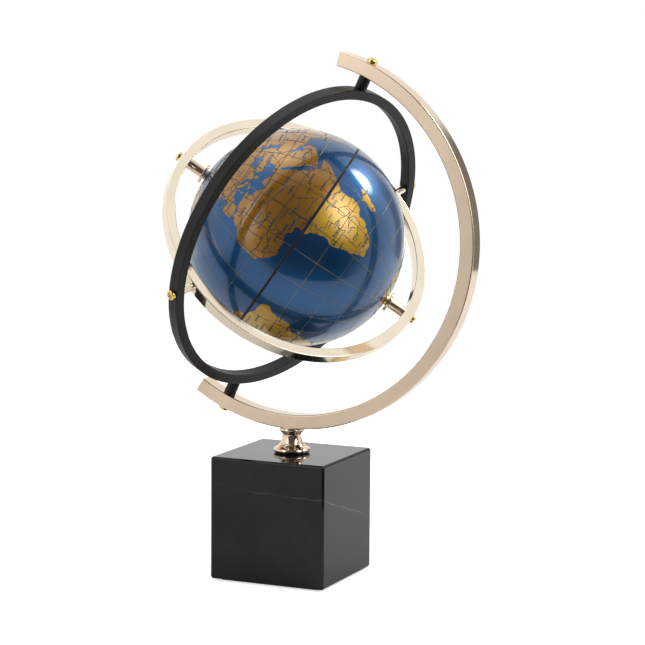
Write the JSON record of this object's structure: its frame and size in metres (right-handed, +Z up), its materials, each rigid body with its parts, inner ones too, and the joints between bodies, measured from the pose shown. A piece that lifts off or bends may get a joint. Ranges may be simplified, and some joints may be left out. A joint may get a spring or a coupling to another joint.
{
  "type": "desktop globe on stand",
  "caption": "Desk globe turning inside two nested rings, hung on a tilted axis from a C-shaped metal arm that stands on a polished stone block.",
  "frame": {"origin": "centre of the underside of the pad below the stone block", "axes": "+Z up; the block's wide face looks along -Y; the arm stands in the XZ plane, open towards -X"},
  "size_m": [0.2445, 0.2572, 0.4252],
  "materials": {
    "felt": "black felt pad",
    "marble": "polished black marble with a thin pale vein",
    "zinc_steel": "zinc-plated",
    "gasket_rubber": "thin black gasket",
    "rose_gold_polished": "polished rose-gold plate",
    "rose_gold_satin": "satin champagne rose-gold plate",
    "champagne_polished": "polished champagne-gold plate",
    "black_coat": "satin black powder coat",
    "brass": "bright brass",
    "nylon_black": "black nylon",
    "nylon_clear": "natural nylon",
    "abs_inner": "moulded white plastic under the map",
    "map_ocean": "metallic blue print under clear lacquer",
    "map_land": "metallic gold print under clear lacquer",
    "map_lines": "dark printed lines"
  },
  "bodies": {
    "stand": {"base_pad": "felt", "marble_block": "marble", "tie_rod": "zinc_steel", "flat_washer": "zinc_steel", "lock_washer": "zinc_steel", "hex_nut": "zinc_steel", "neck_gasket": "gasket_rubber", "neck": "rose_gold_polished", "c_arm": "rose_gold_satin", "top_pivot_washer": "nylon_black", "bottom_pivot_washer": "nylon_black"},
    "outer_ring_frame": {"outer_ring": "black_coat", "top_pivot_post": "black_coat", "bottom_pivot_post": "black_coat", "top_pivot_screw": "brass", "bottom_pivot_screw": "brass", "left_cross_washer": "nylon_black", "right_cross_washer": "nylon_black"},
    "inner_ring_frame": {"inner_ring": "champagne_polished", "left_cross_sleeve": "champagne_polished", "right_cross_sleeve": "champagne_polished", "left_cross_screw": "brass", "right_cross_screw": "brass", "north_pole_screw": "brass", "south_pole_screw": "brass", "north_pole_sleeve": "rose_gold_polished", "south_pole_sleeve": "rose_gold_polished", "north_pole_flange": "rose_gold_polished", "south_pole_flange": "rose_gold_polished"},
    "globe": {"north_hemisphere": "abs_inner", "south_hemisphere": "abs_inner", "north_map_skin": "map_ocean", "south_map_skin": "map_ocean", "north_pole_hub": "abs_inner", "south_pole_hub": "abs_inner", "north_pole_bushing": "nylon_clear", "south_pole_bushing": "brass", "joint_ring": "abs_inner"}
  },
  "joints": [
    {"name": "outer_ring_turn", "type": "hinge", "parent": "stand", "child": "outer_ring_frame", "pos_m": [0.003, 0, 0.27595], "axis": [0.4147, 0, 0.91], "continuous": true},
    {"name": "inner_ring_turn", "type": "hinge", "parent": "outer_ring_frame", "child": "inner_ring_frame", "pos_m": [0.003, 0, 0.27595], "axis": [-0.3863, -0.879, -0.2797], "continuous": true},
    {"name": "globe_spin", "type": "hinge", "parent": "inner_ring_frame", "child": "globe", "pos_m": [0.003, 0, 0.27595], "axis": [-0.7624, -0.3164, 0.5645], "continuous": true}
  ]
}
